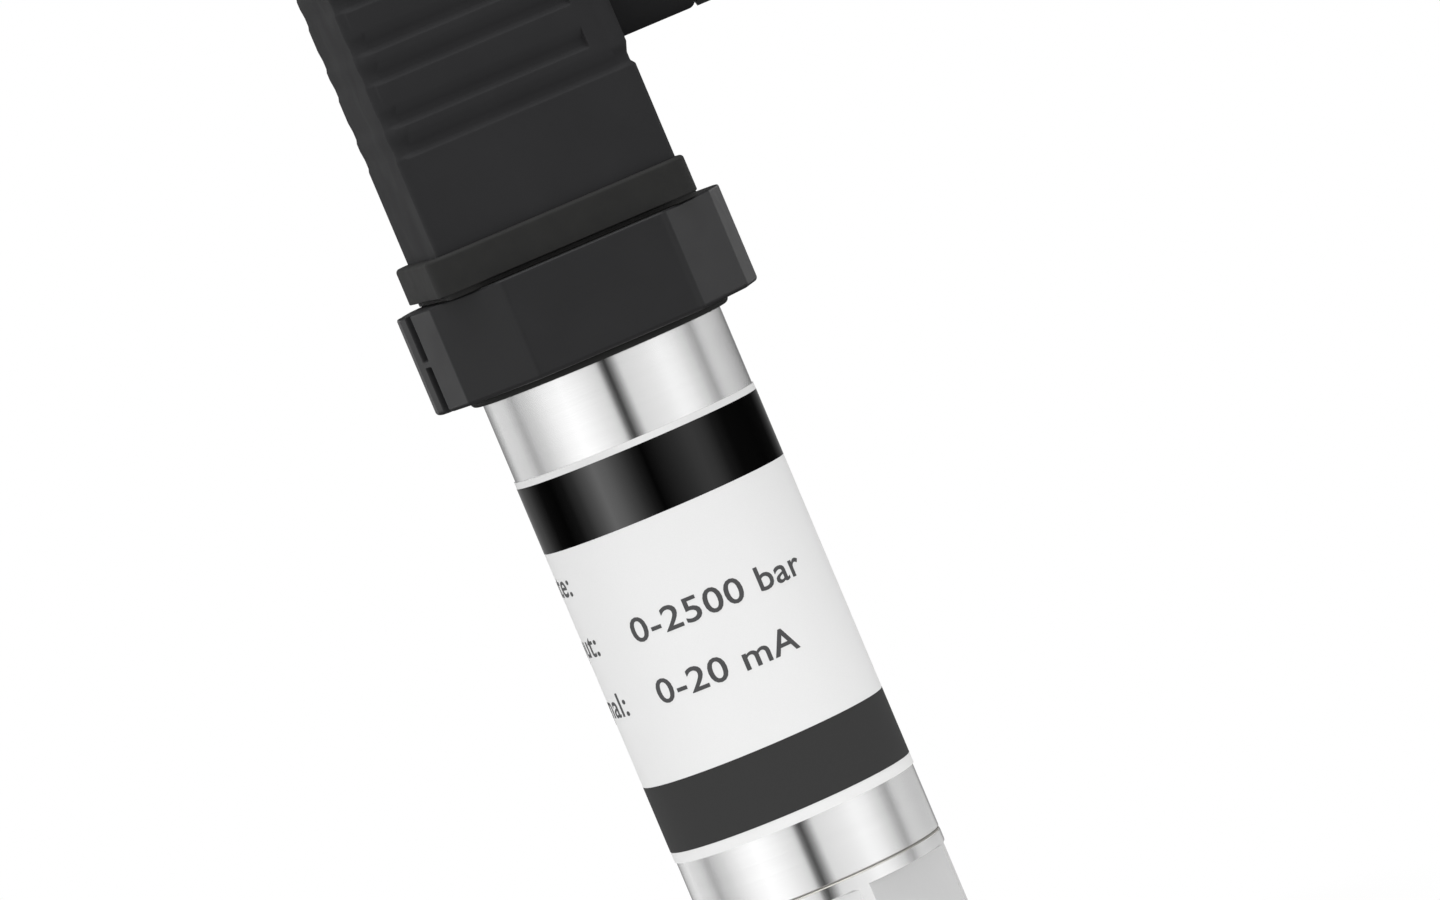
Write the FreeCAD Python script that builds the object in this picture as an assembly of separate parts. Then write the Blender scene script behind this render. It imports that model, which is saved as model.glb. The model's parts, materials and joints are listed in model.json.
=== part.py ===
import FreeCAD
import Part
import math
import os

# High-pressure transmitter: a welded stainless body that stands on its pressure port, with a
# moulded connector base on top and a square plug whose cable outlet points along +X.
# Millimetres. The origin is the centre of the port's mouth, on the bottom face; +Z is up.

# Driving dimensions: stainless body
TUBE_D = 27.0              # outside diameter of the body tube
TUBE_WALL = 1.25
TUBE_EXPOSED = 60.3        # from the weld seam up to the collar
SEAM_CHAMFER = 0.15        # both edges of the seam are broken, which leaves a fine line

# Driving dimensions: process fitting
FITTING_H = 26.0           # bottom face to the weld seam
FITTING_EDGE = 0.8         # chamfer round the bottom face
FLAT_SIDES = 6             # the spanner flats make a hexagon with its corners left round
FLAT_DEPTH = 1.5           # how deep each spanner flat is cut
FLAT_H = 15.0
FLAT_DROP = 1.6            # from the seam down to the top of the flats
FLAT_TURN = 37.5           # degrees from the front of the plug to the normal of one flat
SPIGOT_H = 5.0             # length of the fitting inside the tube

# Driving dimensions: coned and threaded pressure port, 9/16-18 UNF female
PORT_TAP_D = 13.1
PORT_DEPTH = 12.0
PORT_MOUTH = 0.45          # chamfer at the mouth
PORT_PILOT_D = 6.6         # clears the tube that seals in the cone
PORT_PILOT_H = 1.5
PORT_CONE = 60.0           # included angle of the sealing cone
PORT_SHOULDER = 118.0      # included angle left by the drill
PRESSURE_BORE_D = 2.4
WEEP_D = 2.0               # weep hole from the cone to the outside

# Driving dimensions: measuring cell
CELL_SEAT_D = 13.0
CELL_SEAT_H = 3.0          # depth of the seat that holds the cell
CELL_SEAT_WALL = 1.5
CELL_SEAT_FLOOR = 2.0      # metal between the spigot's top and the floor of the seat
CELL_BODY_H = 8.0          # from the seat's floor to the shoulder
CELL_NECK_D = 10.0
CELL_NECK_H = 5.0
DIAPHRAGM_T = 1.5
GAUGE_DISC_D = 8.4
GAUGE_DISC_T = 0.5
GAUGE_BOARD_W = 5.2        # width of the ring-shaped board round the cell's neck
GAUGE_BOARD_T = 1.0
GAUGE_LEAD_T = 0.25        # thickness of the bridges from the disc to the ring board
GAUGE_LEAD_RISE = 0.8      # how far the bridges rise above the disc

# Driving dimensions: amplifier
BOARD_T = 1.6
SIGNAL_LEAD_D = 1.0
CHIP_SIDE = 5.0
CHIP_T = 1.2
REGULATOR_L = 4.4
REGULATOR_W = 2.6
REGULATOR_T = 1.5
CAPACITOR_D = 4.0
CAPACITOR_H = 5.4
CAPACITOR_PITCH = 4.8
SLEEVE_T = 0.2

# Driving dimensions: printed label
LABEL_RISE = 7.25          # from the seam to the label's lower edge
LABEL_H = 43.45
LABEL_T = 0.12
LABEL_SEAM = 0.6           # gap where the label's two ends meet, at the back

# Driving dimensions: connector base
COLLAR_H = 11.0
COLLAR_WALL = 3.3          # collar's wall outside the tube, at the front and the back
COLLAR_SIDE_WALL = 4.9     # the same at the blunt ridge of each side
COLLAR_FLAT = 18.8         # width of the front and back faces
COLLAR_RIDGE = 2.0         # width of the flat along each side ridge
COLLAR_SHOULDER_IN = 2.4   # how far the four shoulders lie inside the ridges
COLLAR_SHOULDER_Y = 8.4    # shoulders in front of and behind the axis
COLLAR_UPRIGHT = 1.2       # radius of the collar's upright edges
COLLAR_EDGE = 0.5          # radius round its bottom
COLLAR_TOP_EDGE = 0.15     # chamfer round its top
SOCKET_DEPTH = 7.0         # how far the tube goes up into the collar
SPIGOT_WALL = 1.8          # moulded ring inside the tube
SPIGOT_DROP = 6.0          # how far that ring goes below the collar
SIDE_SLIT_W = 1.25         # two upright slits free a snap tongue on the side without the outlet
SIDE_SLIT_PITCH = 6.0      # across the tongue, from slit to slit
SIDE_SLIT_DEPTH = 2.2      # measured from the ridge
SIDE_SLIT_BRIDGE = 0.7     # web left across each slit at mid height
BOSS_INSET = 0.6           # gap from the square boss to the inside of the plug, per side
BOSS_SETDOWN = 0.25        # the base's square boss ends this much below the plug
COLLAR_SEAL_D = 1.1        # section of the O-ring at the collar's mouth
COLLAR_SEAL_SHOW = 0.78    # how much of it shows below the collar

# Driving dimensions: contacts
BLADE_W = 6.3
BLADE_T = 0.8
BLADE_REACH = 11.5         # height of the blades above the plug's bottom
EARTH_LEAD = 2.5           # the earth blade is this much taller and makes first
TAIL_W = 2.4               # soldered tail of a blade
TAIL_OUT = 1.2             # tail below the amplifier board
INSERT_D = 5.0
INSERT_H = 6.0
CONTACT_WALL = 1.4         # wall of a socket contact beside the blade
CONTACT_SIDE = 0.45        # wall at the blade's edges
CONTACT_HEAD = 4.0         # solid clamp block above the blade's slot
WIRE_HOLE_D = 2.0
TERMINAL_SCREW_D = 2.5
TERMINAL_HEAD_D = 3.5
TERMINAL_HEAD_H = 1.5

# Driving dimensions: gasket
GASKET_T = 3.4             # flange under the plug
LIP_H = 1.2                # lip round the plug
LIP_WALL = 0.95
LIP_EDGE = 0.45            # radius along the top of the lip
GASKET_UNDERCUT = 0.55     # set-in foot, which leaves a shadow line on the collar
GASKET_OFFSET = 0.35       # the flange stands out more on the side without the outlet

# Driving dimensions: plug
PLUG_SIDE = 27.2
PLUG_CORNER = 2.2          # radius of the upright corners
PLUG_H = 35.3
PLUG_WALL = 2.0
PLUG_TOP = 2.4             # thickness of the top
PLUG_EDGE = 1.2            # radius round the top
GROOVE_H = 2.45
GROOVE_DEPTH = 0.6         # on the front and the back
GROOVE_END_DEPTH = 0.38    # on the face with the outlet
GROOVE_FAR_DEPTH = 0.12    # on the face opposite the outlet
GROOVE_LOWER = 0.45        # height of the steep lower slope
GROOVE_UPPER = 1.1         # height of the gentle upper slope
GROOVE_START = 11.8        # plug's bottom to the lower edge of the first groove
GROOVE_STEP = 3.28         # from one groove of a pair to the other
PAIR_STEP = 8.15           # from pair to pair
GROOVE_END = 4.2           # all but the lowest stop this far before the face with the outlet
CARRIER_H = 17.0
CARRIER_FLOOR = 1.5
CARRIER_WALL = 1.15        # plastic outside each contact
CARRIER_LIFT = 0.2         # carrier's set-back from the plug's bottom
POST_SIDE = 3.0            # corner posts in the plug that hold the carrier down

# Driving dimensions: cable outlet and gland
OUTLET_D = 19.9
OUTLET_L = 10.0
OUTLET_DROP = 10.67        # plug's top to the outlet's axis
OUTLET_EDGE = 0.6
GLAND_THREAD_D = 16.0
CABLE_PASS_D = 9.6         # way from the gland into the plug
CABLE_D = 8.0              # bore of the rubber seal
SEAL_L = 5.0
GLAND_WASHER_T = 0.8
NUT_HOLE_D = 9.2
NUT_AF = 17.4
NUT_L = 8.0
NUT_GAP = 0.3              # between the nut's flange and the outlet
NUT_EDGE = 1.0

# Driving dimensions: centre screw
SCREW_D = 3.0
SCREW_HEAD_D = 5.5
SCREW_HEAD_H = 2.4
SCREW_SLOT_W = 0.8
SCREW_SLOT_DEPTH = 1.2
SCREW_TIP_GAP = 0.8        # left below the tip in the thread insert
SCREW_SEAL_T = 0.8
SCREW_RECESS = 2.6         # depth of the recess for the head
RECESS_GAP = 0.6           # room round the head in its recess
SCREW_SEAT_T = 3.4         # plastic under the recess

# Clearances
FILM_GAP = 0.02            # glue under the label
FIT = 0.05                 # running and plug-in fits, on the radius or per side
EASY = 0.1                 # parts that drop into place
LOOSE = 0.2                # parts that lift off

# Levels and radii worked out from the above
TUBE_R = TUBE_D / 2
BORE_R = TUBE_R - TUBE_WALL
SEAM_Z = FITTING_H
COLLAR_Z = SEAM_Z + TUBE_EXPOSED
COLLAR_TOP = COLLAR_Z + COLLAR_H
SOCKET_TOP = COLLAR_Z + SOCKET_DEPTH
PLUG_Z = COLLAR_TOP + GASKET_T
PLUG_TOP_Z = PLUG_Z + PLUG_H
CAVITY_SIDE = PLUG_SIDE - 2 * PLUG_WALL
CAVITY_CORNER = max(PLUG_CORNER - PLUG_WALL, 0.5)
CAVITY_TOP = PLUG_TOP_Z - PLUG_TOP
BOSS_SIDE = CAVITY_SIDE - 2 * BOSS_INSET
BOSS_TOP = PLUG_Z - BOSS_SETDOWN
PAIR_ROOM = PLUG_H - PLUG_EDGE - GROOVE_START - GROOVE_STEP - GROOVE_H
PAIRS = int(PAIR_ROOM / PAIR_STEP) + 1
OUTLET_X = PLUG_SIDE / 2
OUTLET_END = OUTLET_X + OUTLET_L
OUTLET_Z = PLUG_TOP_Z - OUTLET_DROP
SPIGOT_R = BORE_R - EASY
SPIGOT_END = COLLAR_Z - SPIGOT_DROP
BOARD_TOP = SPIGOT_END
BOARD_LOW = BOARD_TOP - BOARD_T
CELL_Z = SEAM_Z + SPIGOT_H + CELL_SEAT_FLOOR
SHOULDER_Z = CELL_Z + CELL_BODY_H
CELL_TOP = SHOULDER_Z + CELL_NECK_H
NECK_R = CELL_NECK_D / 2
GAUGE_BOARD_TOP = SHOULDER_Z + GAUGE_BOARD_T
GAUGE_BOARD_IN = NECK_R + FIT
GAUGE_BOARD_OUT = GAUGE_BOARD_IN + GAUGE_BOARD_W
LEAD_RING_R = (GAUGE_BOARD_IN + 2 * GAUGE_BOARD_OUT) / 3
INSERT_Z = BOSS_TOP - INSERT_H
SCREW_SEAT_Z = PLUG_TOP_Z - SCREW_RECESS
HEAD_Z = SCREW_SEAT_Z + SCREW_SEAL_T
CARRIER_SIDE = CAVITY_SIDE - 2 * EASY
BLADE_R = CARRIER_SIDE / 2 - CARRIER_WALL - FIT - CONTACT_WALL - BLADE_T / 2
CARRIER_Z = PLUG_Z + CARRIER_LIFT
CARRIER_TOP = CARRIER_Z + CARRIER_H
CONTACT_Z = CARRIER_Z + CARRIER_FLOOR
BLADE_TOP = PLUG_Z + BLADE_REACH
SLOT_TOP = BLADE_TOP + EARTH_LEAD + LOOSE
CONTACT_TOP = SLOT_TOP + CONTACT_HEAD
QUARTERS = (0, 90, 180, 270)

UP = FreeCAD.Vector(0, 0, 1)
OUT = FreeCAD.Vector(1, 0, 0)
CENTRE = FreeCAD.Vector(0, 0, 0)


def save(name, shape):
    """Write one sub-part as its own STEP file."""
    shape.exportStep("parts/" + name + ".step")


def rod(radius, low, high, x=0.0, y=0.0):
    """An upright cylinder between two levels."""
    return Part.makeCylinder(radius, high - low, FreeCAD.Vector(x, y, low), UP)


def ring(outer, inner, low, high):
    """An upright tube between two levels."""
    return rod(outer, low, high).cut(rod(inner, low, high))


def bar(radius, near, far):
    """A cylinder along the axis of the cable outlet."""
    return Part.makeCylinder(radius, far - near, FreeCAD.Vector(near, 0, OUTLET_Z), OUT)


def block(length, width, low, high, x=0.0, y=0.0):
    """A box about an upright line through (x, y)."""
    corner = FreeCAD.Vector(x - length / 2, y - width / 2, low)
    return Part.makeBox(length, width, high - low, corner)


def turned(shape, degrees):
    """A copy turned about the upright axis."""
    copy = shape.copy()
    copy.rotate(CENTRE, UP, degrees)
    return copy


def upright_edges(shape):
    """The edges that run from one level to another."""
    return [e for e in shape.Edges if abs(e.Vertexes[0].Z - e.Vertexes[1].Z) > 0.01]


def round_block(length, width, radius, low, high, x=0.0):
    """A box with round upright corners."""
    box = block(length, width, low, high, x=x)
    return box.makeFillet(radius, upright_edges(box))


def round_square(side, radius, low, high):
    """A square prism with round upright corners."""
    return round_block(side, side, radius, low, high)


def edges_at(shape, level):
    """The edges that lie wholly at one level."""
    return [e for e in shape.Edges if all(abs(v.Z - level) < 1e-4 for v in e.Vertexes)]


def lathe(points):
    """Turn an outline of (radius, height) points about the upright axis."""
    corners = [FreeCAD.Vector(r, 0, z) for r, z in points]
    corners.append(corners[0])
    outline = Part.Face(Part.makePolygon(corners))
    return outline.revolve(CENTRE, UP, 360)


def prism(outline, low, high):
    """Raise a flat outline of (x, y) points."""
    corners = [FreeCAD.Vector(x, y, low) for x, y in outline]
    corners.append(corners[0])
    return Part.Face(Part.makePolygon(corners)).extrude(FreeCAD.Vector(0, 0, high - low))


def process_fitting():
    """Turned fitting: port below, spigot for the tube and seat for the cell above."""
    radius = TUBE_R
    seat_r = CELL_SEAT_D / 2 + FIT
    seat_top = CELL_Z + CELL_SEAT_H
    spigot_top = SEAM_Z + SPIGOT_H
    body = lathe([
        (0, 0), (radius - FITTING_EDGE, 0), (radius, FITTING_EDGE),
        (radius, SEAM_Z - SEAM_CHAMFER), (radius - SEAM_CHAMFER, SEAM_Z),
        (BORE_R - FIT, SEAM_Z), (BORE_R - FIT, spigot_top),
        (seat_r + CELL_SEAT_WALL, spigot_top), (seat_r + CELL_SEAT_WALL, seat_top),
        (seat_r, seat_top), (seat_r, CELL_Z), (0, CELL_Z),
    ])
    flat_top = SEAM_Z - FLAT_DROP
    flat_x = radius - FLAT_DEPTH
    flat_step = 360 / FLAT_SIDES
    for side in range(FLAT_SIDES):
        cutter = block(TUBE_D, TUBE_D, flat_top - FLAT_H, flat_top, x=flat_x + TUBE_D / 2)
        body = body.cut(turned(cutter, FLAT_TURN - 90 + side * flat_step))
    tap = PORT_TAP_D / 2
    pilot = PORT_PILOT_D / 2
    bore = PRESSURE_BORE_D / 2
    shoulder = PORT_DEPTH + (tap - pilot) / math.tan(math.radians(PORT_SHOULDER / 2))
    cone_low = shoulder + PORT_PILOT_H
    cone_high = cone_low + (pilot - bore) / math.tan(math.radians(PORT_CONE / 2))
    port = lathe([
        (0, 0), (tap + PORT_MOUTH, 0), (tap, PORT_MOUTH), (tap, PORT_DEPTH), (pilot, shoulder),
        (pilot, cone_low), (bore, cone_high), (bore, CELL_Z), (0, CELL_Z),
    ])
    weep_z = shoulder + PORT_PILOT_H / 2
    weep = Part.makeCylinder(WEEP_D / 2, TUBE_D, FreeCAD.Vector(0, 0, weep_z), OUT)
    return body.cut(port).cut(turned(weep, FLAT_TURN - 90 + 2 * flat_step))


def body_tube():
    """Stainless tube, from the seam up into the collar."""
    return lathe([
        (BORE_R, SEAM_Z), (TUBE_R - SEAM_CHAMFER, SEAM_Z), (TUBE_R, SEAM_Z + SEAM_CHAMFER),
        (TUBE_R, SOCKET_TOP - FIT), (BORE_R, SOCKET_TOP - FIT),
    ])


def label():
    """Film wrapped round the tube, its ends meeting at the back."""
    low = SEAM_Z + LABEL_RISE
    inner = TUBE_R + FILM_GAP
    wrap = ring(inner + LABEL_T, inner, low, low + LABEL_H)
    return wrap.cut(block(LABEL_SEAM, TUBE_D, low, low + LABEL_H, y=TUBE_D / 2))


def sensor_cell():
    """Thick-walled cell: its blind bore ends under the diaphragm."""
    bore = PRESSURE_BORE_D / 2
    seat = CELL_SEAT_D / 2
    roof = CELL_TOP - DIAPHRAGM_T
    return lathe([
        (bore, CELL_Z), (seat, CELL_Z), (seat, SHOULDER_Z), (NECK_R, SHOULDER_Z),
        (NECK_R, CELL_TOP), (0, CELL_TOP), (0, roof), (bore, roof),
    ])


def gauge_disc():
    """Sapphire disc that carries the strain gauge, bonded to the diaphragm."""
    return rod(GAUGE_DISC_D / 2, CELL_TOP, CELL_TOP + GAUGE_DISC_T)


def gauge_leads():
    """Four bridges from the disc to the ring board."""
    disc_top = CELL_TOP + GAUGE_DISC_T
    crest = disc_top + GAUGE_LEAD_RISE
    inside = GAUGE_DISC_D / 2 - 2 * GAUGE_LEAD_T
    outside = NECK_R + 4 * GAUGE_LEAD_T
    bridge = block(GAUGE_LEAD_T, GAUGE_LEAD_T, disc_top, crest, x=inside)
    bridge = bridge.fuse(block(GAUGE_LEAD_T, GAUGE_LEAD_T, GAUGE_BOARD_TOP, crest, x=outside))
    span = outside - inside + GAUGE_LEAD_T
    middle = (outside + inside) / 2
    bridge = bridge.fuse(block(span, GAUGE_LEAD_T, crest - GAUGE_LEAD_T, crest, x=middle))
    return Part.makeCompound([turned(bridge.removeSplitter(), a) for a in QUARTERS])


def lead_places():
    """Where the signal leads stand, between the blades."""
    angles = [math.radians(a + 45) for a in QUARTERS]
    return [(LEAD_RING_R * math.cos(a), LEAD_RING_R * math.sin(a)) for a in angles]


def gauge_board():
    """Ring-shaped board that sits on the cell's shoulder."""
    board = ring(GAUGE_BOARD_OUT, GAUGE_BOARD_IN, SHOULDER_Z, GAUGE_BOARD_TOP)
    for x, y in lead_places():
        board = board.cut(rod(SIGNAL_LEAD_D / 2 + FIT, SHOULDER_Z, GAUGE_BOARD_TOP, x, y))
    return board


def signal_leads():
    """Four stiff leads from the ring board up to the amplifier."""
    low = SHOULDER_Z - SIGNAL_LEAD_D / 2
    high = BOARD_TOP + SIGNAL_LEAD_D
    return Part.makeCompound([rod(SIGNAL_LEAD_D / 2, low, high, x, y) for x, y in lead_places()])


def amplifier_board():
    """Round board held by the soldered tails, against the moulded ring."""
    board = rod(SPIGOT_R, BOARD_LOW, BOARD_TOP)
    for x, y in lead_places():
        board = board.cut(rod(SIGNAL_LEAD_D / 2 + FIT, BOARD_LOW, BOARD_TOP, x, y))
    slot = block(BLADE_T + 2 * FIT, TAIL_W + 2 * FIT, BOARD_LOW, BOARD_TOP, x=BLADE_R)
    for angle in QUARTERS:
        board = board.cut(turned(slot, angle))
    return board


def amplifier_chip():
    """Signal chip on the underside of the amplifier board."""
    return block(CHIP_SIDE, CHIP_SIDE, BOARD_LOW - CHIP_T, BOARD_LOW)


def regulator_chip():
    """Supply regulator on the upper side of the board."""
    return block(REGULATOR_L, REGULATOR_W, BOARD_TOP, BOARD_TOP + REGULATOR_T,
                 y=-CAPACITOR_D / 2 - REGULATOR_W / 2)


def filter_capacitors():
    """Three upright capacitors on the upper side of the board."""
    row = (-CAPACITOR_PITCH, 0, CAPACITOR_PITCH)
    return Part.makeCompound([
        rod(CAPACITOR_D / 2, BOARD_TOP, BOARD_TOP + CAPACITOR_H, x, CAPACITOR_D / 2) for x in row
    ])


def insulating_sleeve():
    """Film sleeve that keeps the electronics off the tube."""
    outer = BORE_R - FIT
    return ring(outer, outer - SLEEVE_T, SEAM_Z + SPIGOT_H, BOARD_LOW - FIT)


def collar_blank():
    """Collar with a blunt ridge on each side and soft edges all round."""
    deep = TUBE_R + COLLAR_WALL
    wide = TUBE_R + COLLAR_SIDE_WALL
    flat = COLLAR_FLAT / 2
    ridge = COLLAR_RIDGE / 2
    shoulder = wide - COLLAR_SHOULDER_IN
    half = [
        (flat, -deep), (shoulder, -COLLAR_SHOULDER_Y), (wide, -ridge),
        (wide, ridge), (shoulder, COLLAR_SHOULDER_Y), (flat, deep),
    ]
    outline = half + [(-x, -y) for x, y in half]
    blank = prism(outline, COLLAR_Z, COLLAR_TOP)
    blank = blank.makeFillet(COLLAR_UPRIGHT, upright_edges(blank))
    blank = blank.makeFillet(COLLAR_EDGE, edges_at(blank, COLLAR_Z))
    return blank.makeChamfer(COLLAR_TOP_EDGE, edges_at(blank, COLLAR_TOP))


def side_slits():
    """Upright slits beside the snap tongue, each with a web at mid height."""
    x = SIDE_SLIT_DEPTH / 2 - TUBE_R - COLLAR_SIDE_WALL
    y = SIDE_SLIT_PITCH / 2
    middle = (COLLAR_Z + COLLAR_TOP) / 2
    web_low = middle - SIDE_SLIT_BRIDGE / 2
    web_high = middle + SIDE_SLIT_BRIDGE / 2
    return Part.makeCompound([
        block(SIDE_SLIT_DEPTH, SIDE_SLIT_W, low, high, x, side)
        for low, high in ((COLLAR_Z, web_low), (web_high, COLLAR_TOP))
        for side in (-y, y)
    ])


def connector_base():
    """Moulded base: collar over the tube, ring inside it, boss and slots for the blades."""
    base = collar_blank().cut(side_slits())
    base = base.cut(rod(TUBE_R + EASY, COLLAR_Z, SOCKET_TOP))
    mouth_r = TUBE_R + COLLAR_SEAL_D + 2 * FIT
    mouth_top = COLLAR_Z + COLLAR_SEAL_D - COLLAR_SEAL_SHOW + FIT
    base = base.cut(rod(mouth_r, COLLAR_Z, mouth_top))
    base = base.fuse(ring(SPIGOT_R, SPIGOT_R - SPIGOT_WALL, SPIGOT_END, SOCKET_TOP))
    base = base.fuse(round_square(BOSS_SIDE, CAVITY_CORNER, COLLAR_TOP, BOSS_TOP))
    base = base.cut(rod(INSERT_D / 2 + FIT / 2, INSERT_Z, BOSS_TOP))
    slot = block(BLADE_T + 2 * FIT, BLADE_W + 2 * FIT, SOCKET_TOP, BOSS_TOP, x=BLADE_R)
    tail = block(BLADE_T + 2 * FIT, TAIL_W + 2 * FIT, SPIGOT_END, SOCKET_TOP, x=BLADE_R)
    for angle in QUARTERS:
        base = base.cut(turned(slot, angle)).cut(turned(tail, angle))
    return base.removeSplitter()


def collar_seal():
    """O-ring between the tube and the collar's mouth."""
    section = COLLAR_SEAL_D / 2
    level = COLLAR_Z + section - COLLAR_SEAL_SHOW
    return Part.makeTorus(TUBE_R + section + FIT, section, FreeCAD.Vector(0, 0, level), UP)


def blade(top):
    """Flat contact blade with a narrow tail for the board."""
    wide = block(BLADE_T, BLADE_W, SOCKET_TOP, top, x=BLADE_R)
    ends = [e for e in edges_at(wide, top) if abs(e.Vertexes[0].X - e.Vertexes[1].X) > 0.01]
    wide = wide.makeChamfer(BLADE_T, ends)
    tail = block(BLADE_T, TAIL_W, BOARD_LOW - TAIL_OUT, SOCKET_TOP, x=BLADE_R)
    return wide.fuse(tail).removeSplitter()


def contact_blades():
    """The three line blades."""
    return Part.makeCompound([turned(blade(BLADE_TOP), a) for a in (0, 90, 180)])


def earth_blade():
    """The taller earth blade, at the front."""
    return turned(blade(BLADE_TOP + EARTH_LEAD), 270)


def thread_insert():
    """Brass insert for the centre screw."""
    return ring(INSERT_D / 2, SCREW_D / 2 + FIT, INSERT_Z, BOSS_TOP)


def profile_gasket():
    """Rubber frame between base and plug, with a lip round the plug."""
    lip_in = PLUG_SIDE + 2 * LOOSE
    lip_corner = PLUG_CORNER + LOOSE
    side = lip_in + 2 * LIP_WALL
    corner = lip_corner + LIP_WALL
    lip_top = PLUG_Z + LIP_H
    frame = round_block(side, side, corner, COLLAR_TOP + GASKET_UNDERCUT, lip_top, -GASKET_OFFSET)
    foot = round_square(side - 2 * GASKET_UNDERCUT, corner - GASKET_UNDERCUT,
                        COLLAR_TOP, COLLAR_TOP + GASKET_UNDERCUT)
    frame = frame.makeFillet(min(LIP_EDGE, LIP_WALL / 2), edges_at(frame, lip_top)).fuse(foot)
    frame = frame.cut(round_square(lip_in, lip_corner, PLUG_Z, lip_top))
    opening = round_square(BOSS_SIDE + 2 * EASY, CAVITY_CORNER + EASY, COLLAR_TOP, PLUG_Z)
    return frame.cut(opening).removeSplitter()


def groove_cutter(low, stop):
    """A grip groove between two slopes, cut as far as x = stop."""
    length = PLUG_SIDE - GROOVE_END_DEPTH - GROOVE_FAR_DEPTH
    width = PLUG_SIDE - 2 * GROOVE_DEPTH
    shift = (GROOVE_FAR_DEPTH - GROOVE_END_DEPTH) / 2
    corner = PLUG_CORNER - GROOVE_DEPTH
    high = low + GROOVE_H
    core = round_block(length, width, corner, low, high, shift)
    for edge, floor in ((low, low + GROOVE_LOWER), (high, high - GROOVE_UPPER)):
        core = core.fuse(Part.makeLoft([
            plan_wire(PLUG_SIDE, PLUG_SIDE, PLUG_CORNER, edge),
            plan_wire(length, width, corner, floor, shift),
        ], True))
    slab = block(2 * PLUG_SIDE, 2 * PLUG_SIDE, low, high, x=stop - PLUG_SIDE)
    return slab.cut(core)


def plan_wire(length, width, radius, level, x=0.0):
    """Outline of a box with round corners, at one level."""
    box = round_block(length, width, radius, level, level + radius, x)
    return [f for f in box.Faces if abs(f.CenterOfMass.z - level) < 1e-6][0].OuterWire


def plug_housing():
    """Moulded plug: square shell, grip grooves, side outlet and recess for the screw."""
    shell = round_square(PLUG_SIDE, PLUG_CORNER, PLUG_Z, PLUG_TOP_Z)
    shell = shell.makeFillet(PLUG_EDGE, edges_at(shell, PLUG_TOP_Z))
    for pair in range(PAIRS):
        low = PLUG_Z + GROOVE_START + pair * PAIR_STEP
        stop = OUTLET_X - GROOVE_END if pair else PLUG_SIDE
        shell = shell.cut(groove_cutter(low, stop))
        shell = shell.cut(groove_cutter(low + GROOVE_STEP, OUTLET_X - GROOVE_END))
    outlet = bar(OUTLET_D / 2, OUTLET_X - PLUG_WALL, OUTLET_END)
    rim = [e for e in outlet.Edges if abs(e.CenterOfMass.x - OUTLET_END) < 1e-6]
    shell = shell.fuse(outlet.makeFillet(OUTLET_EDGE, rim))
    cavity = round_square(CAVITY_SIDE, CAVITY_CORNER, PLUG_Z, CAVITY_TOP)
    for x in (-1, 1):
        for y in (-1, 1):
            middle = (CAVITY_SIDE - POST_SIDE) / 2
            cavity = cavity.cut(block(POST_SIDE, POST_SIDE, CARRIER_TOP + EASY, CAVITY_TOP,
                                      x=x * middle, y=y * middle))
    seat_low = SCREW_SEAT_Z - SCREW_SEAT_T
    cavity = cavity.cut(rod(SCREW_HEAD_D / 2 + PLUG_WALL, seat_low, CAVITY_TOP))
    shell = shell.cut(cavity)
    shell = shell.cut(bar(GLAND_THREAD_D / 2, OUTLET_X, OUTLET_END))
    shell = shell.cut(bar(CABLE_PASS_D / 2, OUTLET_X - 2 * PLUG_WALL, OUTLET_X))
    shell = shell.cut(rod(SCREW_HEAD_D / 2 + RECESS_GAP, SCREW_SEAT_Z, PLUG_TOP_Z))
    shell = shell.cut(rod(SCREW_D / 2 + LOOSE, seat_low, SCREW_SEAT_Z))
    return shell.removeSplitter()


def contact_size():
    """Plan size of a socket contact, across and along its blade."""
    return BLADE_T + 2 * CONTACT_WALL, BLADE_W + 2 * FIT + 2 * CONTACT_SIDE


def terminal_carrier():
    """Block in the plug that holds the four contacts."""
    carrier = round_square(CARRIER_SIDE, CAVITY_CORNER, CARRIER_Z, CARRIER_TOP)
    carrier = carrier.cut(rod(SCREW_D / 2 + LOOSE, CARRIER_Z, CARRIER_TOP))
    thick, wide = contact_size()
    pocket = block(thick + 2 * FIT, wide + 2 * FIT, CONTACT_Z, CARRIER_TOP, x=BLADE_R)
    entry = block(BLADE_T + 2 * LOOSE, BLADE_W + 2 * LOOSE, CARRIER_Z, CONTACT_Z, x=BLADE_R)
    for angle in QUARTERS:
        carrier = carrier.cut(turned(pocket, angle)).cut(turned(entry, angle))
    return carrier


def socket_contacts():
    """Four socket contacts with clamp blocks for the wires."""
    thick, wide = contact_size()
    contact = block(thick, wide, CONTACT_Z, CONTACT_TOP, x=BLADE_R)
    contact = contact.cut(block(BLADE_T + 2 * FIT, BLADE_W + 2 * FIT, CONTACT_Z, SLOT_TOP, x=BLADE_R))
    wire_z = SLOT_TOP + WIRE_HOLE_D / 2 + EASY
    wire = Part.makeCylinder(WIRE_HOLE_D / 2, 2 * BLADE_R, FreeCAD.Vector(0, 0, wire_z), OUT)
    contact = contact.cut(wire)
    contact = contact.cut(rod(TERMINAL_SCREW_D / 2 + FIT, wire_z, CONTACT_TOP, BLADE_R))
    return Part.makeCompound([turned(contact, a) for a in QUARTERS])


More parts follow.
